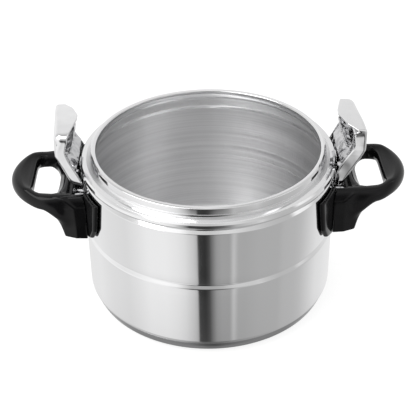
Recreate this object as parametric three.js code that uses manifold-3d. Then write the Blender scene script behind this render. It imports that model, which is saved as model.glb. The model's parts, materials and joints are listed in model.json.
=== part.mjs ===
// Open pressure canner: a spun aluminium pot with a capsule base, two looped handles and two
// upright clamp levers. Millimetres, +Z up. The origin is the middle of the base on the ground,
// and the handles lie along X.
import * as THREE from "three";
import { mergeVertices } from "three/addons/utils/BufferGeometryUtils.js";
import Module from "manifold-3d";

const wasm = await Module();
wasm.setup();

// ---- pot ----
const LOWER_R = 120; // lower wall, outside radius
const UPPER_R = 119.3; // upper wall, outside radius
const STEP_Z = 83.4; // height of the step between the two walls
const INNER_R = 116.1; // inside radius of the upper wall
const FLOOR_Z = 8.6; // top of the pot floor
const FLOOR_ARC = 12; // inside corner radius at the floor
const BEAD_R = 108.5; // radius of the rolled rim's centre line
const BEAD_Z = 154.4; // height of the rolled rim's centre line
const BEAD_ROLL = 3.2; // radius of the roll itself
const FLANGE_R = 121.5; // widest radius of the flange below the rim
const AROUND = 56; // facets round the pot

// ---- capsule base ----
const CAP_LIP_R = 118.8; // top edge of the capsule
const CAP_LIP_Z = 12.6;
const CAP_FLAT_R = 110; // flat face the pot stands on
const SEAM = 0.35; // gap kept between the capsule and the pot

// ---- clamp levers ----
const PIN_X = 121.4; // hinge rivets, out from the pot's axis
const PIN_Z = 120; // hinge rivet height
const PIN_R = 2.8;
const EYE_R = 5.4; // round end of each lever cheek, about the hinge
const LEVER_HALF = 33; // half width of the lever across Y
const SHEET = 2; // lever sheet thickness
const KNEE_X = 141.2; // bend in the lever's back
const KNEE_Z = 163.8;
const TONGUE_Z = 186.4; // top of the back, where the tongue turns in
const TIP_X = 120.8; // free edge of the tongue
const TIP_Z = 187.4;
const SKEW = 0.055; // the lever's top stands this far out of square with the hinge
const JAW_HALF = 28; // half width of the jaw nested in the lever
const JAW_PIN_X = 135.4; // pin that holds the jaw in the lever
const JAW_PIN_Z = 176;
const JAW_PIN_R = 2;
const JAW_PIN_END = LEVER_HALF - 1.4; // the pin stops short of the cheeks' outer faces

// ---- handles ----
const LOOP_X = 140; // where the arms start to curve in to the grip
const GRIP_IN = 165.2; // inner face of the grip bar
const GRIP_OUT = 187.8; // outer face of the grip bar
const ARM_IN = 31.5; // inner face of each arm
const ARM_OUT = 47.4; // outer face of each arm
const ROOT_HALF = 47.4; // half width of the handle root
const POCKET_HALF = 38.6; // half width of the recess for the bracket
const POCKET_X = 128.4; // outer wall of that recess
const SCREW_Y = 15; // handle screws, either side of the middle
const SCREW_Z = 98;

// ---- saddle and bracket ----
const SADDLE_IN = 120.4;
const SADDLE_OUT = 124.2;
const SADDLE_LOW = 82.2;
const SADDLE_HIGH = 132;
const SADDLE_ANGLE = 37.5 * Math.PI / 180;
const WINDOW_ANGLE = 19.4 * Math.PI / 180; // half angle of the saddle's cut-out
const BRACKET_IN = 119.65;
const BRACKET_OUT = 122.2;
const BRACKET_ANGLE = 18.2 * Math.PI / 180;
const EAR_IN = 33.5; // bracket ears stand just outside the lever
const EAR_OUT = 35.7;

const v2 = (x, y) => new THREE.Vector2(x, y);

function arc(cx, cy, r, from, to, steps) {
  const points = [];
  for (let i = 0; i <= steps; i++) {
    const a = THREE.MathUtils.degToRad(from + (to - from) * i / steps);
    points.push(v2(cx + r * Math.cos(a), cy + r * Math.sin(a)));
  }
  return points;
}

// A polyline whose corners are rounded: entries are [x, y, radius].
function rounded(corners, closed, steps = 3) {
  const points = [];
  const n = corners.length;
  for (let i = 0; i < n; i++) {
    const [x, y, r = 0] = corners[i];
    const end = !closed && (i === 0 || i === n - 1);
    if (r === 0 || end) {
      points.push(v2(x, y));
      continue;
    }
    const here = v2(x, y);
    const before = v2(...corners[(i + n - 1) % n].slice(0, 2)).sub(here).normalize();
    const after = v2(...corners[(i + 1) % n].slice(0, 2)).sub(here).normalize();
    const reach = r / Math.tan(Math.acos(before.dot(after)) / 2);
    const start = here.clone().addScaledVector(before, reach);
    const stop = here.clone().addScaledVector(after, reach);
    const curve = new THREE.QuadraticBezierCurve(start, here, stop);
    points.push(...curve.getPoints(steps));
  }
  return points;
}

// ---- solids ----

function toSolid(geometry) {
  const bare = geometry.clone();
  bare.deleteAttribute("normal");
  bare.deleteAttribute("uv");
  const merged = mergeVertices(bare, 1e-4);
  return new wasm.Manifold(new wasm.Mesh({
    numProp: 3,
    vertProperties: new Float32Array(merged.attributes.position.array),
    triVerts: new Uint32Array(merged.index.array),
  }));
}

// A solid as drawable geometry, with the slivers that cutting leaves behind closed up.
function toGeometry(solid) {
  const mesh = solid.getMesh();
  const raw = new THREE.BufferGeometry();
  raw.setAttribute("position", new THREE.BufferAttribute(mesh.vertProperties, 3));
  raw.setIndex(new THREE.BufferAttribute(mesh.triVerts, 1));
  const geometry = mergeVertices(raw, 0.0002);
  const kept = [];
  for (let i = 0; i < geometry.index.count; i += 3) {
    const [a, b, c] = [0, 1, 2].map((k) => geometry.index.getX(i + k));
    if (a !== b && b !== c && c !== a) kept.push(a, b, c);
  }
  geometry.setIndex(kept);
  geometry.computeVertexNormals();
  return geometry;
}

function plate(shape, depth, curveSegments = 12) {
  return new THREE.ExtrudeGeometry(shape, { depth, bevelEnabled: false, curveSegments });
}

// A flat outline in X and Z, given thickness from y0 to y1.
function slabY(points, y0, y1) {
  const geometry = plate(new THREE.Shape(points), y1 - y0);
  geometry.rotateX(Math.PI / 2);
  geometry.translate(0, y1, 0);
  return toSolid(geometry);
}

// A flat outline in Y and Z, given thickness from x0 to x1.
function slabX(points, x0, x1) {
  const geometry = plate(new THREE.Shape(points), x1 - x0);
  geometry.rotateX(Math.PI / 2);
  geometry.rotateZ(Math.PI / 2);
  geometry.translate(x0, 0, 0);
  return toSolid(geometry);
}

// A flat outline in X and Y, given thickness from z0 to z1.
function slabZ(points, z0, z1) {
  const geometry = plate(new THREE.Shape(points), z1 - z0);
  geometry.translate(0, 0, z0);
  return toSolid(geometry);
}

function box(x0, x1, y0, y1, z0, z1) {
  const geometry = new THREE.BoxGeometry(x1 - x0, y1 - y0, z1 - z0);
  geometry.translate((x0 + x1) / 2, (y0 + y1) / 2, (z0 + z1) / 2);
  return toSolid(geometry);
}

// A round bar along Y, from y0 to y1.
function barY(x, z, r, y0, y1, facets = 12) {
  const geometry = new THREE.CylinderGeometry(r, r, y1 - y0, facets);
  geometry.translate(x, (y0 + y1) / 2, z);
  return toSolid(geometry);
}

// A round bar along X, from x0 to x1.
function barX(y, z, r, x0, x1, facets = 12) {
  const geometry = new THREE.CylinderGeometry(r, r, x1 - x0, facets);
  geometry.rotateZ(Math.PI / 2);
  geometry.translate((x0 + x1) / 2, y, z);
  return toSolid(geometry);
}

// A band of a ring round the pot's axis, centred on +X.
function ringBand(inner, outer, halfAngle, z0, z1) {
  const shape = new THREE.Shape();
  shape.absarc(0, 0, outer, -halfAngle, halfAngle, false);
  shape.absarc(0, 0, inner, halfAngle, -halfAngle, true);
  const geometry = plate(shape, z1 - z0, 10);
  geometry.translate(0, 0, z0);
  return toSolid(geometry);
}

function turned(profile) {
  const geometry = new THREE.LatheGeometry(profile, AROUND);
  geometry.rotateX(Math.PI / 2);
  return toSolid(geometry);
}

function join(solids) {
  return solids.reduce((all, next) => all.add(next));
}

// A curved sheet: mid(u, v) gives its middle surface, and the thickness is laid half each side.
function curvedSheet(mid, nu, nv, thickness) {
  const at = (i, j) => mid(i / nu, -1 + 2 * j / nv);
  const positions = [];
  for (const side of [0.5, -0.5]) {
    for (let i = 0; i <= nu; i++) {
      for (let j = 0; j <= nv; j++) {
        const alongU = at(Math.min(i + 1, nu), j).sub(at(Math.max(i - 1, 0), j));
        const alongV = at(i, Math.min(j + 1, nv)).sub(at(i, Math.max(j - 1, 0)));
        const normal = alongU.cross(alongV).normalize();
        positions.push(...at(i, j).addScaledVector(normal, side * thickness).toArray());
      }
    }
  }
  const row = nv + 1;
  const back = (nu + 1) * row;
  const index = [];
  const quad = (a, b, c, d) => index.push(a, b, c, a, c, d);
  for (let i = 0; i < nu; i++) {
    for (let j = 0; j < nv; j++) {
      const a = i * row + j;
      quad(a, a + row, a + row + 1, a + 1);
      quad(back + a, back + a + 1, back + a + row + 1, back + a + row);
    }
  }
  for (let i = 0; i < nu; i++) {
    const low = i * row;
    const high = low + nv;
    quad(low, back + low, back + low + row, low + row);
    quad(high, high + row, back + high + row, back + high);
  }
  for (let j = 0; j < nv; j++) {
    const end = nu * row + j;
    quad(j, j + 1, back + j + 1, back + j);
    quad(end, back + end, back + end + 1, end + 1);
  }
  const geometry = new THREE.BufferGeometry();
  geometry.setAttribute("position", new THREE.Float32BufferAttribute(positions, 3));
  geometry.setIndex(index);
  return toSolid(geometry);
}

// ---- pot and base ----

function potShell() {
  const outside = [
    v2(0, 5.6),
    ...arc(110.8, 11.2, 5.6, -90, 0, 3),
    v2(116.4, 12.9),
    v2(118.9, 13.2),
    v2(119.7, 14),
    v2(LOWER_R, 15.6),
    v2(LOWER_R, 77),
    v2(119.8, 80),
    v2(119.3, 82.2),
    v2(118.6, STEP_Z),
    v2(UPPER_R, STEP_Z + 0.8),
    v2(UPPER_R, 136.5),
    v2(117.4, 139.6),
    v2(115.4, 141.4),
    v2(119.8, 142.3),
    v2(FLANGE_R, 143.6),
    v2(FLANGE_R, 145.5),
    v2(120, 147),
    v2(118.5, 147.8),
    v2(115, 148.2),
    v2(111, 148.6),
  ];
  const bead = arc(BEAD_R, BEAD_Z, BEAD_ROLL, -42, 232, 10);
  const inside = [
    v2(106.9, 148.2),
    v2(108.6, 145.2),
    v2(112.4, 141.2),
    v2(114.9, 136.6),
    v2(INNER_R, 131),
    v2(INNER_R, 76),
    v2(INNER_R + 0.7, 73.5),
    ...arc(INNER_R + 0.7 - FLOOR_ARC, FLOOR_Z + FLOOR_ARC, FLOOR_ARC, 0, -90, 4),
    v2(0, FLOOR_Z),
  ];
  return turned([...outside, ...bead, ...inside]);
}

function baseCap() {
  const outside = [
    v2(0, 0),
    v2(CAP_FLAT_R, 0),
    v2(112.8, 0.8),
    v2(114.8, 2.5),
    v2(116.5, 5.4),
    v2(117.9, 9),
    v2(CAP_LIP_R, CAP_LIP_Z),
    v2(117, CAP_LIP_Z),
  ];
  const inside = arc(110.8, 11.2, 5.6 + SEAM, 0, -90, 3);
  return turned([...outside, ...inside, v2(0, 5.6 - SEAM)]);
}

// ---- clamp lever ----

// Middle line of the lever sheet in X and Z, from the hinge up the back and in along the tongue.
function leverLine() {
  return rounded([[123.2, 127.4], [KNEE_X, KNEE_Z, 9], [KNEE_X, TONGUE_Z, 5], [TIP_X, TIP_Z]], false, 6);
}

function along(points, u) {
  const lengths = [0];
  for (let i = 1; i < points.length; i++) {
    lengths.push(lengths[i - 1] + points[i].distanceTo(points[i - 1]));
  }
  const want = u * lengths[points.length - 1];
  let k = 1;
  while (k < points.length - 1 && lengths[k] < want) k++;
  const part = (want - lengths[k - 1]) / (lengths[k] - lengths[k - 1]);
  return points[k - 1].clone().lerp(points[k], part);
}

// Half the tongue's width at x: one end is cut away in a long curve and the other is nearly square.
function tongueHalf(x, side) {
  const t = THREE.MathUtils.clamp((136 - x) / (136 - TIP_X + 0.2), 0, 0.98);
  const cutAway = LEVER_HALF * Math.pow(1 - Math.pow(t, 2.2), 0.62);
  const square = (LEVER_HALF - 1.5) * Math.pow(1 - Math.pow(t, 6), 0.67);
  return side < 0 ? cutAway : square;
}

// How far the back leans out of square at height z, for a point at y.
function skewed(y, z) {
  return -SKEW * y * THREE.MathUtils.smoothstep(z, 127, KNEE_Z);
}

// The back of the lever and its crowned tongue, as one bent sheet.
function leverBack() {
  const line = leverLine();
  const mid = (u, v) => {
    const p = along(line, u);
    const onTongue = THREE.MathUtils.smoothstep(p.y, 178, TONGUE_Z);
    const y = v * THREE.MathUtils.lerp(LEVER_HALF, tongueHalf(p.x, v), onTongue);
    const crown = 2.2 * onTongue * Math.pow(y / LEVER_HALF, 2);
    const lean = skewed(y, p.y) * THREE.MathUtils.smoothstep(p.x, TIP_X, 136);
    return new THREE.Vector3(p.x + lean, y, p.y - crown);
  };
  return curvedSheet(mid, 18, 8, SHEET);
}

// One side wall of the lever, from the tongue root down to the eye round the hinge pin.
function leverCheek(side) {
  const lean = skewed(side * (LEVER_HALF - 1), KNEE_Z);
  const outline = rounded([
    [123.2, 127.4], [KNEE_X + lean, KNEE_Z, 9], [KNEE_X + lean, 182.6, 4], [132, 184.2],
    [131.4, 176, 3], [132.4, 167, 4], [129, 160, 4], [121, 145.5, 5],
    [118.2, 138], [117.2, 126], [117, 119], [121.6, 115.4], [126, 118],
  ], true);
  const y0 = side > 0 ? LEVER_HALF - SHEET : -LEVER_HALF;
  const y1 = y0 + SHEET;
  const eye = barY(PIN_X, PIN_Z, EYE_R, y0, y1, 20);
  return slabY(outline, y0, y1).add(eye);
}

function lever() {
  const body = join([leverBack(), leverCheek(1), leverCheek(-1)]);
  const hinge = barY(PIN_X, PIN_Z, PIN_R + 0.35, -LEVER_HALF - 1, LEVER_HALF + 1);
  const blind = JAW_PIN_END + 0.3;
  const jaw = barY(JAW_PIN_X, JAW_PIN_Z, JAW_PIN_R + 0.35, -blind, blind, 12);
  return body.subtract(hinge).subtract(jaw);
}

// The jaw nested in the lever: two side straps, a back between them and a lip that turns in.
function jaw() {
  const strap = rounded([
    [131.6, 180], [138.2, 180, 3], [138.2, 171.5, 3], [132.6, 160.5, 5], [126.2, 146, 8],
    [122.4, 131], [119.6, 131], [121.4, 143, 8], [127.8, 162, 8], [130.4, 171.5, 5],
  ], true);
  const back = rounded([
    [123.6, 148.5], [135.4, 162.5, 4], [126.4, 168.2, 0.8], [125.6, 166.4, 0.8], [132.2, 162.2, 3],
    [121.9, 149.6],
  ], true);
  const parts = [
    slabY(strap, JAW_HALF - SHEET, JAW_HALF),
    slabY(strap, -JAW_HALF, -JAW_HALF + SHEET),
    slabY(back, -JAW_HALF + 0.5, JAW_HALF - 0.5),
  ];
  const hole = barY(JAW_PIN_X, JAW_PIN_Z, JAW_PIN_R + 0.35, -JAW_HALF - 1, JAW_HALF + 1, 12);
  return join(parts).subtract(hole);
}

// A headless pin, held in blind holes in the two cheeks.
function jawPin() {
  return barY(JAW_PIN_X, JAW_PIN_Z, JAW_PIN_R, -JAW_PIN_END, JAW_PIN_END, 12);
}

// A short rivet through one cheek and the bracket ear beside it.
function hingeRivet(side) {
  const head = EAR_OUT + 0.3;
  const across = (y0, y1) => side > 0 ? [y0, y1] : [-y1, -y0];
  return join([
    barY(PIN_X, PIN_Z, PIN_R, ...across(LEVER_HALF - SHEET - 0.4, head + 0.5)),
    barY(PIN_X, PIN_Z, 4.6, ...across(head, head + 1.5)),
  ]);
}

// ---- bracket and saddle ----

function ear(side) {
  const outline = rounded([[110, 104], [127.4, 104, 2], [127.4, 126.4, 5], [110, 126.4]], true);
  return side > 0 ? slabY(outline, EAR_IN, EAR_OUT) : slabY(outline, -EAR_OUT, -EAR_IN);
}

function bracket() {
  const pot = toSolid(new THREE.CylinderGeometry(BRACKET_IN, BRACKET_IN, 400, AROUND).rotateX(Math.PI / 2));
  const bosses = [1, -1].map((s) => barX(s * SCREW_Y, SCREW_Z, 4.6, 120.8, 128));
  const threads = [1, -1].map((s) => barX(s * SCREW_Y, SCREW_Z, 2.85, 121.3, 130));
  const solid = join([
    ringBand(BRACKET_IN, BRACKET_OUT, BRACKET_ANGLE, 90.6, 112.4),
    ear(1),
    ear(-1),
    ...bosses,
  ]);
  const pinHole = barY(PIN_X, PIN_Z, PIN_R + 0.35, -EAR_OUT - 1, EAR_OUT + 1);
  return threads.reduce((all, hole) => all.subtract(hole), solid.subtract(pot)).subtract(pinHole);
}

function saddle() {
  const band = ringBand(SADDLE_IN, SADDLE_OUT, SADDLE_ANGLE, SADDLE_LOW, SADDLE_HIGH);
  const reach = 200 * Math.tan(WINDOW_ANGLE);
  const window = slabZ([v2(0, 0), v2(200, -reach), v2(200, reach)], 90.2, SADDLE_HIGH + 5);
  // Seen square on, its sides lean in downwards and its lower corners are rounded off.
  const face = rounded([
    [-70.8, SADDLE_HIGH, 2], [-65.6, 99, 10], [-58.5, 86.6, 7], [-46, SADDLE_LOW, 5],
    [46, SADDLE_LOW, 5], [58.5, 86.6, 7], [65.6, 99, 10], [70.8, SADDLE_HIGH, 2],
  ], true);
  const trim = slabX(face, 0, 200);
  return band.intersect(trim).subtract(window);
}

// ---- handle ----

// A point on a flattened loop about (LOOP_X, 0): power 2 is an ellipse, more is squarer.
function loopPoint(bend, reachX, reachY, power) {
  const squash = (c) => Math.sign(c) * Math.pow(Math.abs(c), 2 / power);
  return new THREE.Vector3(LOOP_X + reachX * squash(Math.cos(bend)), reachY * squash(Math.sin(bend)), 0);
}

// The handle's arms and grip: an oval section carried between an inner and an outer loop.
function handleLoop() {
  const around = 14;
  const stations = 32;
  const ends = 3; // stations at each end that run straight back into the root
  const ease = (x, x0, x1) => THREE.MathUtils.smoothstep(x, x0, x1);
  const oval = (c) => Math.sign(c) * Math.pow(Math.abs(c), 0.85);
  const positions = [];
  const index = [];
  for (let i = 0; i <= stations; i++) {
    const t = THREE.MathUtils.clamp((i - ends) / (stations - 2 * ends), 0, 1);
    const bend = (t - 0.5) * Math.PI;
    const inner = loopPoint(bend, GRIP_IN - LOOP_X, ARM_IN, 5.5);
    const outer = loopPoint(bend, GRIP_OUT - LOOP_X, ARM_OUT, 2.04);
    const back = 3.5 * Math.max(ends - i, i - (stations - ends), 0);
    const middle = inner.clone().add(outer).multiplyScalar(0.5);
    const across = outer.clone().sub(inner).multiplyScalar(0.5);
    const x = middle.x - back;
    const root = 1 - ease(x, 133, 157);
    const grip = ease(x, 158, 174);
    const high = 7.6 + 0.8 * grip + 8 * root;
    const level = 121.2 + 3.2 * grip - 8 * root;
    for (let j = 0; j < around; j++) {
      const a = 2 * Math.PI * j / around;
      const out = oval(Math.cos(a));
      positions.push(x + across.x * out, middle.y + across.y * out, level + high * oval(Math.sin(a)));
    }
  }
  for (let i = 0; i < stations; i++) {
    for (let j = 0; j < around; j++) {
      const a = i * around + j;
      const b = i * around + (j + 1) % around;
      index.push(a, b + around, b, a, a + around, b + around);
    }
  }
  const last = stations * around;
  for (let j = 1; j < around - 1; j++) {
    index.push(0, j, j + 1, last, last + j + 1, last + j);
  }
  const geometry = new THREE.BufferGeometry();
  geometry.setAttribute("position", new THREE.Float32BufferAttribute(positions, 3));
  geometry.setIndex(index);
  return toSolid(geometry);
}

// The block between the arms and the pot, cut to fit round the bracket and the lever.
function handleRoot() {
  const side = rounded([
    [104, 83], [137, 84.4, 2], [139.4, 93, 8], [143, 103, 8], [149, 111, 4], [155, 116, 3],
    [155, 124, 3], [142, 127, 3], [134, 125.6, 4], [124, 117.6, 4], [104, 117],
  ], true);
  const plan = [
    v2(104, -ROOT_HALF),
    v2(126, -ROOT_HALF),
    v2(137, -43.6),
    v2(148, -37.3),
  ];
  const bow = 8;
  for (let i = 0; i <= bow; i++) {
    const y = -34 + 68 * i / bow;
    plan.push(v2(143 + 8 * Math.pow(Math.abs(y) / 34, 3), y));
  }
  plan.push(v2(148, 37.3), v2(137, 43.6), v2(126, ROOT_HALF), v2(104, ROOT_HALF));
  return slabY(side, -60, 60).intersect(slabZ(plan, 60, 150));
}

function handle() {
  const clear = toSolid(
    new THREE.CylinderGeometry(SADDLE_OUT + 0.3, SADDLE_OUT + 0.3, 400, AROUND).rotateX(Math.PI / 2),
  );
  const pocket = box(100, POCKET_X, -POCKET_HALF, POCKET_HALF, 91, 140);
  let solid = join([handleRoot(), handleLoop()]).subtract(clear).subtract(pocket);
  for (const s of [1, -1]) {
    solid = solid.subtract(barX(s * SCREW_Y, SCREW_Z, 2.9, 120, 140));
    solid = solid.subtract(barX(s * SCREW_Y, SCREW_Z, 5.6, 134, 170));
  }
  return solid;
}

function screw(side) {
  return join([
    barX(side * SCREW_Y, SCREW_Z, 2.5, 122, 136),
    barX(side * SCREW_Y, SCREW_Z, 4.4, 135.6, 138.8),
  ]).subtract(box(137.9, 140, side * SCREW_Y - 5, side * SCREW_Y + 5, SCREW_Z - 0.6, SCREW_Z + 0.6));
}

function washer(side) {
  const disc = barX(side * SCREW_Y, SCREW_Z, 5, 134.3, 135.3);
  return disc.subtract(barX(side * SCREW_Y, SCREW_Z, 2.8, 130, 140));
}

// ---- assembly ----

const polished = () => new THREE.MeshStandardMaterial({ color: 0xcfd0d1, metalness: 1, roughness: 0.2 });
const steel = () => new THREE.MeshStandardMaterial({ color: 0xdcdddf, metalness: 1, roughness: 0.1 });
const bakelite = () => new THREE.MeshStandardMaterial({ color: 0x121212, metalness: 0, roughness: 0.3 });

function node(name, solid, material) {
  const mesh = new THREE.Mesh(toGeometry(solid), material);
  mesh.name = name;
  return mesh;
}

function sideAssembly(name, turn) {
  const side = new THREE.Group();
  side.name = `${name}_side`;
  side.add(
    node(`${name}_handle`, handle(), bakelite()),
    node(`${name}_saddle`, saddle(), bakelite()),
    node(`${name}_bracket`, bracket(), steel()),
    node(`${name}_lever`, lever(), steel()),
    node(`${name}_jaw`, jaw(), steel()),
    node(`${name}_jaw_pin`, jawPin(), steel()),
  );
  for (const [label, s] of [["a", 1], ["b", -1]]) {
    side.add(
      node(`${name}_hinge_rivet_${label}`, hingeRivet(s), steel()),
      node(`${name}_screw_${label}`, screw(s), steel()),
      node(`${name}_washer_${label}`, washer(s), steel()),
    );
  }
  side.rotation.z = turn;
  return side;
}

const canner = new THREE.Group();
canner.name = "pressure_canner";
canner.add(
  node("pot_shell", potShell(), polished()),
  node("base_cap", baseCap(), polished()),
  sideAssembly("right", 0),
  sideAssembly("left", Math.PI),
);

export default canner;
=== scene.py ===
"""Open pressure canner: polished aluminium pot, capsule base, two looped handles, two clamp levers.

Lengths are written in millimetres, as in the CAD source, and turned to metres as each mesh is made.
The right side is modelled, and the left side is the same piece turned half way round the pot.
"""
import json
import math

import bpy
import numpy as np
from mathutils import Matrix, Vector


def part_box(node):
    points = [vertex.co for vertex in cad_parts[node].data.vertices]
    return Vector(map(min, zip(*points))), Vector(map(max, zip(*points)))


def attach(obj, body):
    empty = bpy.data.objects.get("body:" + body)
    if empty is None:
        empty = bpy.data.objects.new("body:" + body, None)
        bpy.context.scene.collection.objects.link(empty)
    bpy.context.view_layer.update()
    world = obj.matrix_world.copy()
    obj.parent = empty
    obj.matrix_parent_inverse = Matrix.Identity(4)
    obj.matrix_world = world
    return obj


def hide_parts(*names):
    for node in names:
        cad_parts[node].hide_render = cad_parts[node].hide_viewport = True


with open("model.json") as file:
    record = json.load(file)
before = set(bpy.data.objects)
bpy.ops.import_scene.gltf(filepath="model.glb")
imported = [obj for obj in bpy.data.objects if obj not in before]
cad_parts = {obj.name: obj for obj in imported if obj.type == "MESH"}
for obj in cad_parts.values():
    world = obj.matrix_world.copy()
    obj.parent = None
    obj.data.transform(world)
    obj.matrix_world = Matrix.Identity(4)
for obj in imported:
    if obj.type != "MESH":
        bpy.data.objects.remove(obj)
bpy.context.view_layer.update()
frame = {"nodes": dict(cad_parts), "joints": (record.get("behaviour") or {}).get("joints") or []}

MM = 0.001

# ---- sizes, read from the frame ----


def node_box(name):
    """A CAD node's lowest and highest corners in millimetres."""
    lo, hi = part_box(name)
    return np.array(lo) / MM, np.array(hi) / MM


_, POT_HI = node_box("pot_shell")
HANDLE_LO, HANDLE_HI = node_box("right_handle")
LEVER_LO, LEVER_HI = node_box("right_lever")
HINGE = next(j for j in frame["joints"] if j["name"] == "right_lever_hinge")
PIN_X, _, PIN_Z = (v / MM for v in HINGE["pos_m"])

FLANGE_R = POT_HI[1]
LOWER_R = FLANGE_R - 1.5
UPPER_R = FLANGE_R - 2.2
RIM_TOP = POT_HI[2]
GRIP_OUT = HANDLE_HI[0]
ARM_OUT = HANDLE_HI[1]
LEVER_HALF = LEVER_HI[1]

# ---- small helpers ----


def smoothstep(x, x0, x1):
    t = np.clip((x - x0) / (x1 - x0), 0.0, 1.0)
    return t * t * (3.0 - 2.0 * t)


def arc(cx, cy, r, start, stop, steps):
    """Points on an arc, angles in degrees."""
    angles = np.radians(np.linspace(start, stop, steps + 1))
    return [(cx + r * math.cos(a), cy + r * math.sin(a)) for a in angles]


def rounded(corners, closed=True, steps=6):
    """A polyline with rounded corners; entries are (x, y, radius)."""
    out = []
    n = len(corners)
    for i, (x, y, r) in enumerate(corners):
        here = np.array((x, y))
        if r == 0 or (not closed and i in (0, n - 1)):
            out.append(here)
            continue
        before = np.array(corners[i - 1][:2]) - here
        after = np.array(corners[(i + 1) % n][:2]) - here
        before = before / np.linalg.norm(before)
        after = after / np.linalg.norm(after)
        half = math.acos(float(np.clip(before @ after, -1, 1))) / 2
        reach = r / math.tan(half)
        for t in np.linspace(0, 1, steps + 1):
            a, b = here + before * reach, here + after * reach
            out.append((1 - t) ** 2 * a + 2 * t * (1 - t) * here + t * t * b)
    return out


def link(mesh, name, material):
    obj = bpy.data.objects.new(name, mesh)
    bpy.context.collection.objects.link(obj)
    mesh.materials.append(material)
    return obj


def make_object(name, verts_mm, faces, material, sharp=None):
    mesh = bpy.data.meshes.new(name)
    mesh.from_pydata([tuple(v) for v in np.asarray(verts_mm) * MM], [], [tuple(f) for f in faces])
    mesh.validate()
    mesh.update()
    mesh.shade_smooth()
    if sharp is not None:
        mesh.set_sharp_from_angle(angle=math.radians(sharp))
    return link(mesh, name, material)


def half_turned(obj, name):
    """A copy of a right-hand piece, turned half way round the pot for the left."""
    mesh = obj.data.copy()
    mesh.transform(Matrix.Rotation(math.pi, 4, "Z"))
    mesh.name = name
    copy = bpy.data.objects.new(name, mesh)
    bpy.context.collection.objects.link(copy)
    return copy


# ---- solids of revolution ----


def turned(name, profile, material, around=256, sharp=40):
    """Spins a closed profile of (radius, z) points round Z. Points on the axis close the solid."""
    verts, rings = [], []
    for r, z in profile:
        if r < 1e-6:
            rings.append([len(verts)] * around)
            verts.append((0.0, 0.0, z))
            continue
        rings.append(list(range(len(verts), len(verts) + around)))
        for i in range(around):
            a = 2 * math.pi * i / around
            verts.append((r * math.cos(a), r * math.sin(a), z))
    faces = []
    for low, high in zip(rings, rings[1:]):
        for i in range(around):
            j = (i + 1) % around
            quad = [low[i], low[j], high[j], high[i]]
            face = list(dict.fromkeys(quad))
            if len(face) > 2:
                faces.append(face)
    return make_object(name, verts, faces, material, sharp)


def turned_y(name, profile, x, z, side, material, around=48):
    """Spins a profile of (radius, distance along Y) round a line along Y through (x, z)."""
    obj = turned(name, profile, material, around, 40)
    turn = Matrix.Rotation(-math.pi / 2 if side > 0 else math.pi / 2, 4, "X")
    obj.data.transform(Matrix.Translation((x * MM, 0, z * MM)) @ turn)
    return obj


# ---- implicit solids: a field is negative inside the piece, in millimetres ----


def smin(a, b, k):
    h = np.clip(0.5 + 0.5 * (b - a) / k, 0, 1)
    return b + (a - b) * h - k * h * (1 - h)


def smax(a, b, k):
    return -smin(-a, -b, k)


def polygon(x, y, points):
    """Signed distance to a closed outline, negative inside."""
    best = np.full(np.broadcast(x, y).shape, 1e12)
    inside = np.zeros(best.shape, bool)
    n = len(points)
    for i in range(n):
        ax, ay = points[i]
        bx, by = points[(i + 1) % n]
        dx, dy = bx - ax, by - ay
        t = np.clip(((x - ax) * dx + (y - ay) * dy) / (dx * dx + dy * dy), 0, 1)
        best = np.minimum(best, (x - ax - t * dx) ** 2 + (y - ay - t * dy) ** 2)
        crosses = (ay > y) != (by > y)
        if dy != 0:
            inside ^= crosses & (x < (y - ay) * dx / dy + ax)
    return np.where(inside, -1, 1) * np.sqrt(best)


def surface_mesh(field, lo, hi, step):
    """Vertices and quads of the field's zero surface: one vertex to each crossed cell."""
    axes = [np.arange(a - step, b + 2 * step, step) for a, b in zip(lo, hi)]
    x, y, z = (a.reshape([-1 if i == k else 1 for k in range(3)]) for i, a in enumerate(axes))
    values = np.broadcast_to(field(x, y, z), [len(a) for a in axes]).astype(float)
    inside = values < 0
    nx, ny, nz = values.shape

    def corner(a, i, j, k):
        return a[i : nx - 1 + i, j : ny - 1 + j, k : nz - 1 + k]

    corners = [(i, j, k) for i in (0, 1) for j in (0, 1) for k in (0, 1)]
    count = sum(corner(inside, *c).astype(np.int8) for c in corners)
    cells = np.argwhere((count > 0) & (count < 8))
    index = np.full((nx - 1, ny - 1, nz - 1), -1)
    index[tuple(cells.T)] = np.arange(len(cells))
    total = np.zeros((len(cells), 3))
    hits = np.zeros(len(cells))
    for c in corners:
        for axis in range(3):
            if c[axis]:
                continue
            d = list(c)
            d[axis] = 1
            a = values[tuple((cells + c).T)]
            b = values[tuple((cells + d).T)]
            crossed = (a < 0) != (b < 0)
            t = a / np.where(crossed, a - b, 1)
            point = np.array(c, float) + np.outer(t, np.eye(3)[axis])
            total[crossed] += point[crossed]
            hits += crossed
    verts = np.array([a[0] for a in axes]) + (cells + total / hits[:, None]) * step
    faces = []
    for axis in range(3):
        u, v = [(1, 2), (2, 0), (0, 1)][axis]
        first = np.take(inside, range(0, values.shape[axis] - 1), axis)
        second = np.take(inside, range(1, values.shape[axis]), axis)
        edges = np.argwhere(first != second)
        edges = edges[(edges[:, u] > 0) & (edges[:, v] > 0)]
        edges = edges[(edges[:, u] < values.shape[u] - 1) & (edges[:, v] < values.shape[v] - 1)]
        eu, ev = np.eye(3, dtype=int)[u], np.eye(3, dtype=int)[v]
        ring = [edges - eu - ev, edges - ev, edges, edges - eu]
        quads = np.stack([index[tuple(r.T)] for r in ring], 1)
        outward = first[tuple(edges.T)]
        faces.append(np.where(outward[:, None], quads, quads[:, ::-1]))
    return settled(field, verts, step), np.concatenate(faces)


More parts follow.
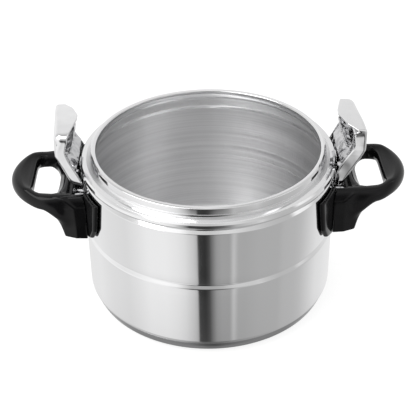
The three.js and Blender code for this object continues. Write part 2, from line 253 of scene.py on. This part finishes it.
def settled(field, verts, step):
    """Moves vertices on to the zero surface along the field's slope."""
    eps = 0.02
    for _ in range(3):
        x, y, z = verts.T
        here = field(x, y, z)
        slope = np.stack([
            field(x + eps, y, z) - field(x - eps, y, z),
            field(x, y + eps, z) - field(x, y - eps, z),
            field(x, y, z + eps) - field(x, y, z - eps),
        ], 1) / (2 * eps)
        size = np.maximum((slope ** 2).sum(1), 0.05)
        move = -slope * (here / size)[:, None]
        length = np.linalg.norm(move, axis=1, keepdims=True)
        verts = verts + move * np.minimum(1, 0.6 * step / np.maximum(length, 1e-9))
    return verts


def carved(name, field, lo, hi, step, material, sharp=None):
    verts, faces = surface_mesh(field, lo, hi, step)
    return make_object(name, verts, faces, material, sharp)


# ---- materials ----


class Nodes:
    """A node material with a Principled shader, and short names for its common nodes."""

    def __init__(self, name, colour, metallic, roughness):
        self.material = bpy.data.materials.new(name)
        self.material.use_nodes = True
        self.tree = self.material.node_tree
        self.shader = self.tree.nodes["Principled BSDF"]
        self.set("Base Color", (*colour, 1))
        self.set("Metallic", metallic)
        self.set("Roughness", roughness)
        self.material.diffuse_color = (*colour, 1)
        self.coords = self.add("ShaderNodeTexCoord").outputs["Object"]

    def set(self, socket, value):
        self.shader.inputs[socket].default_value = value

    def add(self, kind, **inputs):
        node = self.tree.nodes.new(kind)
        for key, value in inputs.items():
            self.feed(node.inputs[key.replace("_", " ")], value)
        return node

    def feed(self, socket, value):
        if isinstance(value, bpy.types.NodeSocket):
            self.tree.links.new(value, socket)
        else:
            socket.default_value = value

    def math(self, operation, a, b=0.0):
        node = self.tree.nodes.new("ShaderNodeMath")
        node.operation = operation
        self.feed(node.inputs[0], a)
        self.feed(node.inputs[1], b)
        return node.outputs[0]

    def split(self):
        return self.add("ShaderNodeSeparateXYZ", Vector=self.coords).outputs

    def radius(self):
        """Distance from the pot's axis, in metres."""
        x, y, _ = self.split()
        return self.math("SQRT", self.math("ADD", self.math("POWER", x, 2.0), self.math("POWER", y, 2.0)))

    def noise(self, vector, scale, detail=2.0, rough=0.5):
        node = self.add("ShaderNodeTexNoise", Vector=vector, Scale=scale, Detail=detail, Roughness=rough)
        return node.outputs[0]

    def combine(self, x, y, z):
        node = self.tree.nodes.new("ShaderNodeCombineXYZ")
        for socket, value in zip(node.inputs, (x, y, z)):
            self.feed(socket, value)
        return node.outputs[0]

    def ranged(self, value, low, high, start=0.0, stop=1.0):
        """value taken from the range start..stop to the range low..high."""
        node = self.tree.nodes.new("ShaderNodeMapRange")
        for socket, v in zip(node.inputs, (value, start, stop, low, high)):
            self.feed(socket, v)
        return node.outputs[0]

    def colour_between(self, factor, a, b):
        node = self.tree.nodes.new("ShaderNodeMix")
        node.data_type = "RGBA"
        self.feed(node.inputs[0], factor)
        node.inputs[6].default_value = (*a, 1)
        node.inputs[7].default_value = (*b, 1)
        return node.outputs[2]

    def bump(self, height, strength, distance, normal=None):
        node = self.add("ShaderNodeBump", Strength=strength, Distance=distance, Height=height)
        if normal is not None:
            self.feed(node.inputs["Normal"], normal)
        return node.outputs[0]

    def link(self, socket, output):
        self.tree.links.new(output, self.shader.inputs[socket])


def polished_aluminium():
    """Mirror outside, spun satin inside, with long fine turning marks that follow the lathe."""
    m = Nodes("polished_aluminium", (0.90, 0.90, 0.905), 1.0, 0.12)
    r = m.radius()
    x, y, z = m.split()
    below_neck = m.math("MULTIPLY", m.math("LESS_THAN", r, 0.1176), m.math("LESS_THAN", z, 0.132))
    in_neck = m.math("MULTIPLY", m.math("LESS_THAN", r, 0.1149), m.math("LESS_THAN", z, 0.149))
    inside = m.math("MAXIMUM", below_neck, in_neck)
    outside = m.math("SUBTRACT", 1.0, inside)

    slow_x, slow_y = m.math("MULTIPLY", x, 6.0), m.math("MULTIPLY", y, 6.0)
    broad = m.noise(m.combine(slow_x, slow_y, m.math("MULTIPLY", z, 190.0)), 1.0, 0.0)
    fine = m.noise(m.combine(slow_x, slow_y, m.math("MULTIPLY", z, 620.0)), 1.0, 0.0)
    wall = m.math("ADD", m.math("MULTIPLY", broad, 0.45), m.math("MULTIPLY", fine, 0.55))
    floor = m.noise(m.combine(m.math("MULTIPLY", r, 520.0), 0.0, 0.0), 1.0, 1.0)
    on_floor = m.math("LESS_THAN", z, 0.0095)
    marks = m.math("ADD", m.math("MULTIPLY", wall, m.math("SUBTRACT", 1.0, on_floor)),
                   m.math("MULTIPLY", floor, on_floor))
    satin = m.ranged(marks, 0.34, 0.46, 0.3, 0.7)
    haze = m.noise(m.coords, 35.0, 3.0)
    mirror = m.ranged(haze, 0.045, 0.08, 0.3, 0.7)
    m.link("Roughness", m.math("ADD", m.math("MULTIPLY", satin, inside), m.math("MULTIPLY", mirror, outside)))
    m.link("Anisotropic", m.math("MULTIPLY", inside, 0.85))
    m.set("Anisotropic Rotation", 0.25)
    tangent = m.tree.nodes.new("ShaderNodeTangent")
    tangent.direction_type = "RADIAL"
    tangent.axis = "Z"
    m.link("Tangent", tangent.outputs[0])
    m.link("Base Color", m.colour_between(m.math("MULTIPLY", inside, m.ranged(marks, 1.0, 0.0, 0.3, 0.7)),
                                          (0.90, 0.90, 0.905), (0.78, 0.78, 0.785)))
    m.link("Normal", m.bump(m.math("MULTIPLY", marks, inside), 0.07, 0.0003))
    return m.material


def ringed_base_painted_shade():
    """Brushed base metal with turned rings on its underside; its colour is the pot's aluminium painted
    darker, as painted shade.
    """
    # Painted shade: the base colour is set well below the pot's aluminium, so the base reads dim however it
    # is lit.
    m = Nodes("base_metal", (0.48, 0.48, 0.487), 1.0, 0.2)
    r = m.radius()
    rings = m.noise(m.combine(m.math("MULTIPLY", r, 400.0), 0.0, 0.0), 2.0, 3.0)
    m.link("Roughness", m.ranged(rings, 0.14, 0.32, 0.3, 0.7))
    m.link("Normal", m.bump(rings, 0.25, 0.0003))
    return m.material


def bakelite():
    """Glossy black moulding with faint orange peel and rubbed patches."""
    m = Nodes("bakelite", (0.006, 0.006, 0.0065), 0.0, 0.2)
    m.set("Specular IOR Level", 0.24)
    peel = m.noise(m.coords, 420.0, 1.0)
    rub = m.noise(m.coords, 30.0, 3.0)
    m.link("Roughness", m.ranged(rub, 0.07, 0.15, 0.3, 0.7))
    m.link("Base Color", m.colour_between(m.ranged(rub, 0.0, 1.0, 0.35, 0.75), (0.003, 0.003, 0.0032),
                                          (0.006, 0.006, 0.0064)))
    m.link("Normal", m.bump(peel, 0.03, 0.0003))
    return m.material


def chrome(name, colour, low, high, wave, scale=55.0, reach=0.002):
    """Bright pressed metal: gently uneven, with fine polishing marks."""
    m = Nodes(name, colour, 1.0, low)
    x, y, z = m.split()
    brushed = m.combine(m.math("MULTIPLY", x, 1.0), m.math("MULTIPLY", y, 30.0), m.math("MULTIPLY", z, 1.0))
    marks = m.noise(brushed, 60.0, 3.0)
    m.link("Roughness", m.ranged(marks, low, high, 0.3, 0.7))
    sway = m.noise(m.coords, scale, 1.0)
    m.link("Normal", m.bump(marks, 0.05, 0.0002, m.bump(sway, wave, reach)))
    return m.material


ALUMINIUM = polished_aluminium()
BASE = ringed_base_painted_shade()
BAKELITE = bakelite()
LEVER_CHROME = chrome("lever_chrome", (0.90, 0.90, 0.905), 0.05, 0.10, 0.5, 48.0, 0.003)
JAW_STEEL = chrome("jaw_steel", (0.62, 0.62, 0.63), 0.10, 0.20, 1.0, 75.0, 0.006)
BRACKET_STEEL = chrome("bracket_steel", (0.72, 0.72, 0.73), 0.12, 0.26, 0.3)
PIN_STEEL = chrome("pin_steel", (0.78, 0.78, 0.79), 0.14, 0.26, 0.1)
SCREW_STEEL = chrome("screw_steel", (0.66, 0.66, 0.67), 0.18, 0.32, 0.1)

# ---- pot and base ----

BEAD_R = FLANGE_R - 13
WALL_IN = UPPER_R - 3.2
FLOOR_Z = 8.0
CORNER = 6.0
WIDER = 0.35
SEAM_GAP = 0.35


def smooth_line(points, steps=8):
    """A smooth curve through points, by Catmull-Rom."""
    p = [np.array(q, float) for q in points]
    p = [2 * p[0] - p[1], *p, 2 * p[-1] - p[-2]]
    out = []
    for a, b, c, d in zip(p, p[1:], p[2:], p[3:]):
        for t in np.linspace(0, 1, steps, endpoint=False):
            out.append(0.5 * (2 * b + (c - a) * t + (2 * a - 5 * b + 4 * c - d) * t * t
                              + (3 * b - a - 3 * c + d) * t ** 3))
    out.append(p[-2])
    return [tuple(q) for q in out]


def pot():
    """The spun shell: outside from the base up, over the rolled rim, then the inside down to the floor."""
    lower = [(0, 5.6), (110.8, 5.6), *arc(110.8, 11.2, 5.6, -80, 0, 8), (116.5, 12.7)]
    seam = rounded([(116.5, 12.7, 0), (118.9, 13.0, 0), (LOWER_R - 0.2, 13.6, 0.5), (LOWER_R, 15.6, 1),
                    (LOWER_R, 30, 0)], False)[1:]
    step = rounded([(LOWER_R, 68, 0), (LOWER_R, 76.4, 2.6), (117.9, 79.4, 1.2), (117.8, 81.0, 0.4),
                    (UPPER_R, 82.0, 0.5), (UPPER_R, 92, 0)], False, 10)
    shoulder = rounded([(UPPER_R, 120, 0), (UPPER_R, 135.9, 1.0), (116.2, 139.5, 0.4), (115.9, 141.4, 0.4),
                        (FLANGE_R - 0.6, 142.4, 0.4), (FLANGE_R, 143.8, 0.5), (FLANGE_R - 0.7, 146.2, 0.4),
                        (119.4, 148.0, 0.3), (111.4, 148.7, 0.8), (110.9, 150.4, 0.3)], False, 10)
    bead = rounded([(110.9, 150.4, 0), (BEAD_R + 3.2, 151.6, 0.5), (BEAD_R + 2.3, RIM_TOP - 0.7, 0.9),
                    (BEAD_R + 0.3, RIM_TOP, 2.2), (BEAD_R - 2.5, RIM_TOP - 0.4, 1.3),
                    (BEAD_R - 3.1, 154.4, 0.9), (BEAD_R - 2.4, 151.6, 0)], False, 8)
    inner = smooth_line([(106.8, 150.6), (107.1, 148.2), (108.7, 145.0), (112.3, 140.8), (114.8, 136.2),
                         (WALL_IN - 0.15, 131)], 6)
    crease = rounded([(WALL_IN, 120, 0), (WALL_IN, 75.6, 0.5), (WALL_IN + WIDER, 74.8, 0.5),
                      (WALL_IN + WIDER, 60, 0)], False)
    corner = arc(WALL_IN + WIDER - CORNER, FLOOR_Z + CORNER, CORNER, 0, -90, 14)
    floor = [(80, FLOOR_Z), (79, FLOOR_Z - 0.25), (40, FLOOR_Z - 0.25), (0, FLOOR_Z - 0.25)]
    profile = [*lower, *seam, *step, *shoulder, *bead, *inner, *crease, *corner, *floor]
    return turned("pot", profile, ALUMINIUM, 288, 38)


def base_cap():
    """A bevelled disc with a fine gap under the shell."""
    outside = [(0, 0), (40, 0), (110, 0), *rounded([(110, 0, 0), (112.8, 0.5, 0.8), (115.4, 3.0, 2),
               (117.6, 8.0, 3), (118.8, 12.1, 0.4), (118.2, 12.6, 0.3), (117, 12.6, 0)], False, 5)[1:]]
    inside = arc(110.8, 11.2, 5.6 + SEAM_GAP, 0, -90, 8)
    return turned("base", [*outside, *inside, (0, 5.6 - SEAM_GAP)], BASE, 288, 38)


# ---- handle ----

LOOP_X = 140.0
GRIP_IN, ARM_IN = GRIP_OUT - 22.6, ARM_OUT - 15.9
POCKET_HALF, POCKET_X = 38.6, 128.4
SADDLE_IN, SADDLE_OUT = 120.4, 124.2
SCREW_Y, SCREW_Z = 15.0, 98.0

ROOT_SIDE = rounded([(100, 83, 0), (137, 84.4, 2), (139.4, 93, 8), (143, 103, 8), (149, 111, 4),
                     (155, 116, 3), (155, 124, 3), (142, 127, 3), (134, 125.6, 4), (124, 117.6, 4),
                     (100, 117, 0)])
ROOT_PLAN = rounded([(100, -ARM_OUT, 0), (126, -ARM_OUT, 1), (137, -43.6, 1), (160, -30.5, 0),
                     (160, 30.5, 0), (137, 43.6, 1), (126, ARM_OUT, 1), (100, ARM_OUT, 0)])


def loop_edge(x, y, reach_x, reach_y, power):
    """Distance outside a flattened loop that starts at LOOP_X."""
    u = np.maximum((x - LOOP_X) / reach_x, 0) + 0 * y
    v = np.abs(y) / reach_y + 0 * x
    size = np.maximum(u ** power + v ** power, 1e-6)
    value = size ** (1 / power) - 1
    common = size ** (1 / power - 1)
    gx = common * u ** (power - 1) / reach_x
    gy = common * v ** (power - 1) / reach_y
    return value / np.maximum(np.sqrt(gx * gx + gy * gy), 1e-3)


def handle_field(x, y, z):
    """A looped grip joined to a root, hollowed for the bracket and bored for two screws."""
    hole = loop_edge(x, y, GRIP_IN - LOOP_X, ARM_IN, 7.5)
    rim = -loop_edge(x, y, GRIP_OUT - LOOP_X, ARM_OUT, 2.04)
    half = np.maximum((hole + rim) / 2, 1.5)
    across = (hole - rim) / (2 * half)
    root = 1 - smoothstep(x, 133, 157)
    grip = smoothstep(x, 156, 174)
    high = 7.6 + 0.8 * grip + 8 * root
    level = 121.2 + 3.2 * grip - 8 * root
    power = 2.35
    upright = (z - level) / high
    size = (np.abs(across) ** power + np.abs(upright) ** power + 1e-9) ** (1 / power)
    loop = (size - 1) * np.minimum(half, high)
    facet = level + high * (0.95 + 0.55 * np.minimum(across - 0.2, 0) + 1.2 * (1 - grip))
    loop = smax(loop, (z - facet) * 0.9, 1.2)
    loop = smax(loop, 112 - x, 1.5)

    block = smax(polygon(x, z, ROOT_SIDE), polygon(x, y, ROOT_PLAN), 1.6)
    mouth = x - (143 + 8 * (np.abs(y) / 34) ** 3 - 0.8 * np.clip(z - 117, 0, 10))
    block = smax(block, mouth, 4)
    solid = smin(loop, block, 3.5)

    clear = SADDLE_OUT + 0.3 - np.sqrt(x * x + y * y)
    pocket = np.maximum(np.maximum(x - POCKET_X, np.abs(y) - POCKET_HALF), 91 - z)
    solid = smax(solid, clear, 0.8)
    solid = smax(solid, -pocket, 0.8)
    for side in (1, -1):
        bore = np.sqrt((y - side * SCREW_Y) ** 2 + (z - SCREW_Z) ** 2)
        solid = smax(solid, -(bore - 2.9), 0.3)
        solid = smax(solid, -np.maximum(bore - 5.6, 134 - x), 0.6)
    ledge = np.maximum(np.abs(z - 117) - 0.3, x - 137)
    solid = np.where(np.abs(y) > 40, np.maximum(solid, -np.maximum(ledge, -(solid + 0.5))), solid)
    return solid


def saddle_field(x, y, z):
    """A pad curved to the wall, with a window for the bracket and one wing shorter than the other."""
    r = np.sqrt(x * x + y * y)
    middle, half = (SADDLE_IN + SADDLE_OUT) / 2, (SADDLE_OUT - SADDLE_IN) / 2
    band = np.abs(r - middle) - half
    outline = rounded([(-70.8, 132, 2), (-65.6, 99, 10), (-58.5, 86.6, 7), (-46, 82.2, 5), (41, 82.6, 5),
                       (53, 88.6, 7), (60.6, 101, 10), (66, 132, 2)])
    face = polygon(y, z, outline)
    angle = np.arctan2(y, x)
    window = np.maximum((np.abs(angle) - math.radians(19.4)) * middle, 90.2 - z)
    solid = smax(smax(band, face, 1.6), z - 132, 1.2)
    return smax(solid, -window, 1.0)


# ---- lever and jaw ----

KNEE_X, KNEE_Z = 141.2, 163.8
TONGUE_Z = 186.4
TIP_X, TIP_Z = 120.8, 187.4
SKEW = 0.055  # how far the lever leans out of square, per millimetre along Y
SHEET = 1.8
CROWN = 2.2  # how far the tongue's ends fall below its middle
RIVET_BORE_R = 3.1
PIN_BORE_R = 2.3
JAW_PIN_R = 2.0
JAW_PIN_X, JAW_PIN_Z, JAW_HALF = 135.4, 176.0, 28.0
JAW_PIN_END = LEVER_HALF - 1.4


def outline_back(radius):
    """The outside of the lever's back and tongue in X and Z, closed far out on the pot's side."""
    edge = SHEET / 2 + 0.1
    return rounded([(124.0, 126.6, 0), (KNEE_X + edge, KNEE_Z - 0.4, 8),
                    (KNEE_X + edge, TONGUE_Z + edge, radius), (TIP_X - 6, TIP_Z + edge + 0.25, 0),
                    (60, TIP_Z, 0), (60, 90, 0), (124.0, 90, 0)], True, 8)


BACK_CRISP = outline_back(4)
BACK_SOFT = outline_back(8)

# The back's distance from the pot's axis at each height, where the cheeks leave it.
BACK_HEIGHTS = [126, 154, 159, 164, 170, 178]
BACK_REACH = [124.4, 137.2, 139.3, 140.8, 141.6, 141.8]

# The tongue from above, then what is kept of each cheek from the side.
TONGUE_PLAN = rounded([(150, -LEVER_HALF, 0), (136, -LEVER_HALF, 7), (126.5, -21.5, 12), (TIP_X - 0.4, -5, 8),
                       (TIP_X - 0.2, 3, 8), (124.9, 22, 14), (129.5, 38, 0), (150, 40, 0)], True, 8)
KEEP_CRISP = rounded([(150, 126, 0), (150, 200, 0), (110, 200, 0), (110, 183.2, 0), (131.6, 182.2, 1.5),
                     (131.6, 176, 3), (132.4, 167, 4), (129, 160, 4), (121, 145.5, 6), (118, 138, 3),
                     (116.4, 126, 4), (116, 119, 4), (121.2, 113.9, 4), (127, 117.5, 3)], True, 6)
KEEP_SOFT = rounded([(150, 126, 0), (150, 200, 0), (110, 200, 0), (110, 180, 0), (125.4, 181, 2),
                     (129.8, 178, 4), (132.4, 169, 6), (129, 160, 4), (121, 145.5, 6), (118, 138, 3),
                     (116.4, 126, 4), (116, 119, 4), (121.2, 113.9, 4), (127, 117.5, 3)], True, 6)


def lever_field(x, y, z):
    """Bent sheet: a back and two cheeks, with a crowned tongue turned in at the top."""
    lean = -SKEW * y * smoothstep(z, 127, KNEE_Z) * smoothstep(x, TIP_X, 136)
    high = smoothstep(z, 176, TONGUE_Z)
    crown = CROWN * high * (y / LEVER_HALF) ** 2
    xs, zs = x - lean, z + crown
    soft = smoothstep(y, -22, 14)
    back = (1 - soft) * polygon(xs, zs, BACK_CRISP) + soft * polygon(xs, zs, BACK_SOFT)
    # One cheek turns in a little toward the pot, and the other a little toward the back.
    behind = np.interp(z, BACK_HEIGHTS, BACK_REACH) - xs
    toe = np.where(y < 0, 0.28 * np.clip(behind, 0, 11), 0.14 * np.clip(11 - behind, 0, 11)) * (1 - high)
    flank = np.abs(y) - LEVER_HALF + toe
    outer = smax(back, flank, np.where(y < 0, 3.0, 3.0 + 5.5 * smoothstep(z, 168, 182)))
    shell = smax(outer, -(outer + SHEET), 0.35)
    plan = polygon(x, y, TONGUE_PLAN)
    deep = np.where(y < 0, smoothstep(z, 178, 183), smoothstep(z, 168, 174))
    trimmed = smax(shell, plan - 30 * (1 - deep), 0.8)
    keep = np.where(y < 0, polygon(xs, z, KEEP_CRISP), polygon(xs, z, KEEP_SOFT))
    lever = smax(trimmed, keep, 0.8)
    bore = np.sqrt((x - PIN_X) ** 2 + (z - PIN_Z) ** 2) - RIVET_BORE_R
    cross = np.sqrt((x - JAW_PIN_X) ** 2 + (z - JAW_PIN_Z) ** 2) - PIN_BORE_R
    cross = np.maximum(cross, np.abs(y) - JAW_PIN_END - 0.3 + toe)
    below = smax(lever, -bore, 0.4)
    return smax(below, -cross, 0.4)


STRAP = rounded([(132.0, 180, 2), (138.2, 180, 3), (138.2, 171.5, 3), (132.6, 160.5, 5), (126.2, 146, 8),
                 (122.4, 131, 1), (120.2, 131, 1), (122.6, 143, 8), (129.2, 162, 8),
                 (131.6, 171.5, 5)], True, 5)
LIP = rounded([(123.6, 148.5, 0.5), (135.4, 162.5, 3), (126.4, 168.2, 0.8), (125.6, 166.4, 0.8),
               (132.2, 162.2, 2), (121.9, 149.6, 0.5)], True, 5)


def jaw_field(x, y, z):
    """Two straps down the cheeks, joined by a dished back with its lip turned in."""
    strap = smax(polygon(x, z, STRAP), np.abs(np.abs(y) - (JAW_HALF - 1)) - 1, 0.8)
    dish = 0.8 * (1 - (y / JAW_HALF) ** 2)
    back = smax(polygon(x + dish, z, LIP), np.abs(y) - JAW_HALF + 0.5, 0.8)
    jaw = smin(strap, back, 2.2)
    hole = np.sqrt((x - JAW_PIN_X) ** 2 + (z - JAW_PIN_Z) ** 2) - PIN_BORE_R
    return smax(jaw, -hole, 0.3)


# ---- putting the pieces on their bodies ----


def place(piece, body, slot_name, *nodes):
    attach(piece, body)
    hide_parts(*nodes)


def both_sides(piece, name, body, slot_name):
    """Puts a right-hand piece and its turned copy in the places of their CAD nodes."""
    other = half_turned(piece, f"left_{name}_piece")
    left_body = "left_lever" if body == "right_lever" else body
    place(piece, body, slot_name, f"right_{name}")
    place(other, left_body, slot_name, f"left_{name}")


def domed(pin_r, start, head_r, head_at, height):
    """Half profile of a rivet: shank, then a domed head."""
    dome = [(head_r * math.cos(a), head_at + 0.35 + (height - 0.35) * math.sin(a))
            for a in np.radians(np.linspace(0, 84, 8))]
    return [(0, start), (pin_r - 0.3, start), (pin_r, start + 0.3), (pin_r, head_at), (head_r - 0.3, head_at),
            *dome, (0, head_at + height)]


def make_sides():
    lo, hi = HANDLE_LO - 1, HANDLE_HI + 1
    handle = carved("right_handle_piece", handle_field, lo, hi, 0.95, BAKELITE, 50)
    both_sides(handle, "handle", "pot", "bakelite")
    lo, hi = node_box("right_saddle")
    saddle = carved("right_saddle_piece", saddle_field, lo - 1, hi + 1, 0.8, BAKELITE, 50)
    both_sides(saddle, "saddle", "pot", "bakelite")
    lever = carved("right_lever_piece", lever_field, LEVER_LO - 1, LEVER_HI + 1, 0.48, LEVER_CHROME)
    both_sides(lever, "lever", "right_lever", "lever_chrome")
    lo, hi = node_box("right_jaw")
    jaw = carved("right_jaw_piece", jaw_field, lo - 1, hi + 1, 0.55, JAW_STEEL)
    both_sides(jaw, "jaw", "right_lever", "jaw_steel")

    end = JAW_PIN_END - 1.5
    across = [(0, -end), (JAW_PIN_R - 0.4, -end), (JAW_PIN_R, -end + 0.4), (JAW_PIN_R, end - 0.4),
              (JAW_PIN_R - 0.4, end), (0, end)]
    jaw_pin = turned_y("right_jaw_pin_piece", across, JAW_PIN_X, JAW_PIN_Z, 1, PIN_STEEL)
    both_sides(jaw_pin, "jaw_pin", "right_lever", "pin_steel")
    for label, side in (("a", 1), ("b", -1)):
        profile = domed(2.8, 30.6, 4.6, 36.0, 1.5)
        rivet = turned_y(f"right_hinge_rivet_{label}_piece", profile, PIN_X, PIN_Z, side, PIN_STEEL)
        both_sides(rivet, f"hinge_rivet_{label}", "pot", "pin_steel")


def dress_cad_nodes():
    """The CAD pieces whose shape is right keep it and get their material, with eased edges."""
    for side in ("right", "left"):
        for part, material in (("bracket", BRACKET_STEEL), ("screw_a", SCREW_STEEL), ("screw_b", SCREW_STEEL),
                               ("washer_a", SCREW_STEEL), ("washer_b", SCREW_STEEL)):
            obj = frame["nodes"][f"{side}_{part}"]
            obj.data.materials.clear()
            obj.data.materials.append(material)
            bevel = obj.modifiers.new("edge", "BEVEL")
            bevel.width = 0.00025
            bevel.segments = 2
            bevel.limit_method = "ANGLE"
            bevel.angle_limit = math.radians(35)


# ---- studio ----


def emission(name, colour, strength):
    material = bpy.data.materials.new(name)
    material.use_nodes = True
    tree = material.node_tree
    tree.nodes.clear()
    out = tree.nodes.new("ShaderNodeOutputMaterial")
    glow = tree.nodes.new("ShaderNodeEmission")
    glow.inputs[0].default_value = (*colour, 1)
    glow.inputs[1].default_value = strength
    tree.links.new(glow.outputs[0], out.inputs[0])
    return material


def floor():
    """A plain pale floor, a little self-lit so that it stays clean, with soft contact shade."""
    mesh = bpy.data.meshes.new("floor")
    size, z = 6.0, -0.0002  # metres: just under the base
    corners = [(-size, -size, z), (size, -size, z), (size, size, z), (-size, size, z)]
    mesh.from_pydata(corners, [], [(0, 1, 2, 3)])
    material = emission("floor", (1, 1, 1), 0.80)
    tree = material.node_tree
    diffuse = tree.nodes.new("ShaderNodeBsdfDiffuse")
    diffuse.inputs[0].default_value = (0.30, 0.30, 0.30, 1)
    both = tree.nodes.new("ShaderNodeAddShader")
    glow = next(n for n in tree.nodes if n.type == "EMISSION")
    out = next(n for n in tree.nodes if n.type == "OUTPUT_MATERIAL")
    tree.links.new(glow.outputs[0], both.inputs[0])
    tree.links.new(diffuse.outputs[0], both.inputs[1])
    tree.links.new(both.outputs[0], out.inputs[0])
    obj = link(mesh, "floor", material)
    obj.visible_glossy = False


# Brightness of the studio as the metal sees it: rows of tones by bearing from straight in front of the
# pot, in degrees, positive to the right. Each row holds at one sine of elevation, and they blend between.
DOWN = [(-180, 0.30), (-90, 0.45), (-35, 0.36), (-12, 0.14), (10, 0.12), (35, 0.28), (80, 0.42), (180, 0.30)]
LOW = [(-180, 0.80), (-127, 0.855), (-107, 0.80), (-84, 0.765), (-71, 0.83), (-59, 0.91), (-42, 0.915),
       (-31, 0.86), (-24, 0.79), (-15, 0.60), (-12.6, 0.50), (-11.4, 0.05), (-5, 0.03), (-1.5, 0.07),
       (0, 0.136), (5, 0.333), (10, 0.381), (17.5, 0.376), (20.6, 0.58), (25, 0.42), (31, 0.415), (45, 0.442),
       (65, 0.447), (71, 0.483), (84, 0.50), (92, 0.54), (99, 0.61), (107, 0.69), (117, 0.78), (140, 0.84)]
LEVEL = [(-180, 0.90), (-120, 0.95), (-60, 0.98), (-39, 0.97), (-30, 0.80), (-22, 0.40), (-17, 0.055),
         (-5, 0.04), (0, 0.05), (5, 0.085), (10, 0.14), (15, 0.26), (20, 0.45), (28, 0.55), (37, 0.62),
         (42, 0.70), (48, 0.58), (60, 0.50), (90, 0.60), (120, 0.80)]
HIGH = [(-180, 0.85), (-110, 0.45), (-80, 0.40), (-60, 0.95), (-50, 1.15), (-30, 1.15), (-21, 0.9),
        (-8, 0.75), (0, 0.72), (15, 0.85), (25, 0.78), (40, 0.62), (60, 0.55), (76, 0.48), (82, 1.5),
        (94, 1.5), (102, 0.45), (130, 0.55), (180, 0.85)]
TOP = [(-180, 0.80), (-140, 0.50), (-95, 0.45), (-62, 0.8), (-48, 0.95), (-30, 0.95), (-15, 0.8), (40, 0.7),
       (66, 0.8), (78, 1.0), (95, 1.0), (108, 0.50), (150, 0.55), (180, 0.80)]
ROWS = [(-0.85, DOWN), (-0.62, LOW), (-0.42, LOW), (-0.15, LEVEL), (0.15, LEVEL), (0.80, HIGH), (0.94, TOP)]


def studio_world():
    """Metal reflects the rows of tones, and everything else is lit by plain white."""
    world = bpy.data.worlds.new("studio")
    bpy.context.scene.world = world
    world.use_nodes = True
    tree = world.node_tree
    tree.nodes.clear()

    def add(kind, operation=None, *inputs):
        node = tree.nodes.new(kind)
        if operation:
            node.operation = operation
        for socket, value in zip(node.inputs, inputs):
            if isinstance(value, bpy.types.NodeSocket):
                tree.links.new(value, socket)
            else:
                socket.default_value = value
        return node

    def maths(operation, *inputs):
        return add("ShaderNodeMath", operation, *inputs).outputs[0]

    def tone_row(turn, row):
        ramp = add("ShaderNodeValToRGB", None, turn)
        stops = ramp.color_ramp.elements
        stops.remove(stops[-1])
        for i, (angle, tone) in enumerate(row):
            at = angle / 360 + 0.5
            stop = stops[0] if i == 0 else stops.new(at)
            stop.position = at
            stop.color = (tone, tone, tone, 1)
        return ramp.outputs[0]

    coords = tree.nodes.new("ShaderNodeTexCoord").outputs["Generated"]
    x, y, z = add("ShaderNodeSeparateXYZ", None, coords).outputs
    bearing = maths("ARCTAN2", x, maths("MULTIPLY", y, -1.0))
    turn = maths("ADD", maths("DIVIDE", bearing, 2 * math.pi), 0.5)
    made = {id(row): tone_row(turn, row) for _, row in ROWS}
    tone = made[id(ROWS[0][1])]
    for (z0, _), (z1, row) in zip(ROWS, ROWS[1:]):
        share = add("ShaderNodeMapRange", None, z, z0, z1, 0.0, 1.0).outputs[0]
        mix = tree.nodes.new("ShaderNodeMix")
        mix.data_type = "RGBA"
        tree.links.new(share, mix.inputs[0])
        tree.links.new(tone, mix.inputs[6])
        tree.links.new(made[id(row)], mix.inputs[7])
        tone = mix.outputs[2]

    glossy = tree.nodes.new("ShaderNodeBackground")
    tree.links.new(tone, glossy.inputs[0])
    plain = tree.nodes.new("ShaderNodeBackground")
    plain.inputs[0].default_value = (1, 1, 1, 1)
    path = tree.nodes.new("ShaderNodeLightPath")
    choose = tree.nodes.new("ShaderNodeMixShader")
    tree.links.new(path.outputs["Is Glossy Ray"], choose.inputs[0])
    tree.links.new(plain.outputs[0], choose.inputs[1])
    tree.links.new(glossy.outputs[0], choose.inputs[2])
    out = tree.nodes.new("ShaderNodeOutputWorld")
    tree.links.new(choose.outputs[0], out.inputs[0])


def softbox(name, place_mm, target_mm, size_mm, watts):
    light = bpy.data.lights.new(name, "AREA")
    light.shape = "RECTANGLE"
    light.size, light.size_y = (s * MM for s in size_mm)
    light.energy = watts
    obj = bpy.data.objects.new(name, light)
    bpy.context.collection.objects.link(obj)
    obj.location = Vector(place_mm) * MM
    aim = (Vector(target_mm) - Vector(place_mm)).normalized()
    obj.rotation_mode = "QUATERNION"
    obj.rotation_quaternion = aim.to_track_quat("-Z", "Y")


CAMERA_DISTANCE = 993.7
CAMERA_TARGET = (-0.949, 0, 83.43)
CAMERA_ELEVATION, CAMERA_ROLL, CAMERA_YAW = (math.radians(a) for a in (34.03, -0.834, 1.1))
SENSOR_WIDTH = 36
FOCAL_LENGTH = 87.488654


def camera():
    """Looks down on the pot from the front, a little to its left."""
    distance, elevation, roll = CAMERA_DISTANCE, CAMERA_ELEVATION, CAMERA_ROLL
    target = Vector(CAMERA_TARGET)
    turn = Matrix.Rotation(-CAMERA_YAW, 3, "Z")
    back = Vector((0, -math.cos(elevation), math.sin(elevation)))
    right = Vector((1, 0, 0))
    up = back.cross(right)
    r = math.cos(roll) * right + math.sin(roll) * up
    u = -math.sin(roll) * right + math.cos(roll) * up
    place_at = turn @ (target + distance * back)
    axes = Matrix((turn @ r, turn @ u, turn @ back)).transposed()
    data = bpy.data.cameras.new("camera")
    data.sensor_width = SENSOR_WIDTH
    data.lens = FOCAL_LENGTH
    obj = bpy.data.objects.new("camera", data)
    bpy.context.collection.objects.link(obj)
    obj.matrix_world = Matrix.Translation(place_at * MM) @ axes.to_4x4()
    bpy.context.scene.camera = obj


camera()
place(pot(), "pot", "polished_aluminium", "pot_shell")
place(base_cap(), "pot", "base_metal", "base_cap")
make_sides()
dress_cad_nodes()
floor()
studio_world()
softbox("top_left", (-700, -300, 1100), (0, 0, 120), (900, 900), 6)
bpy.context.scene.view_settings.view_transform = "Standard"
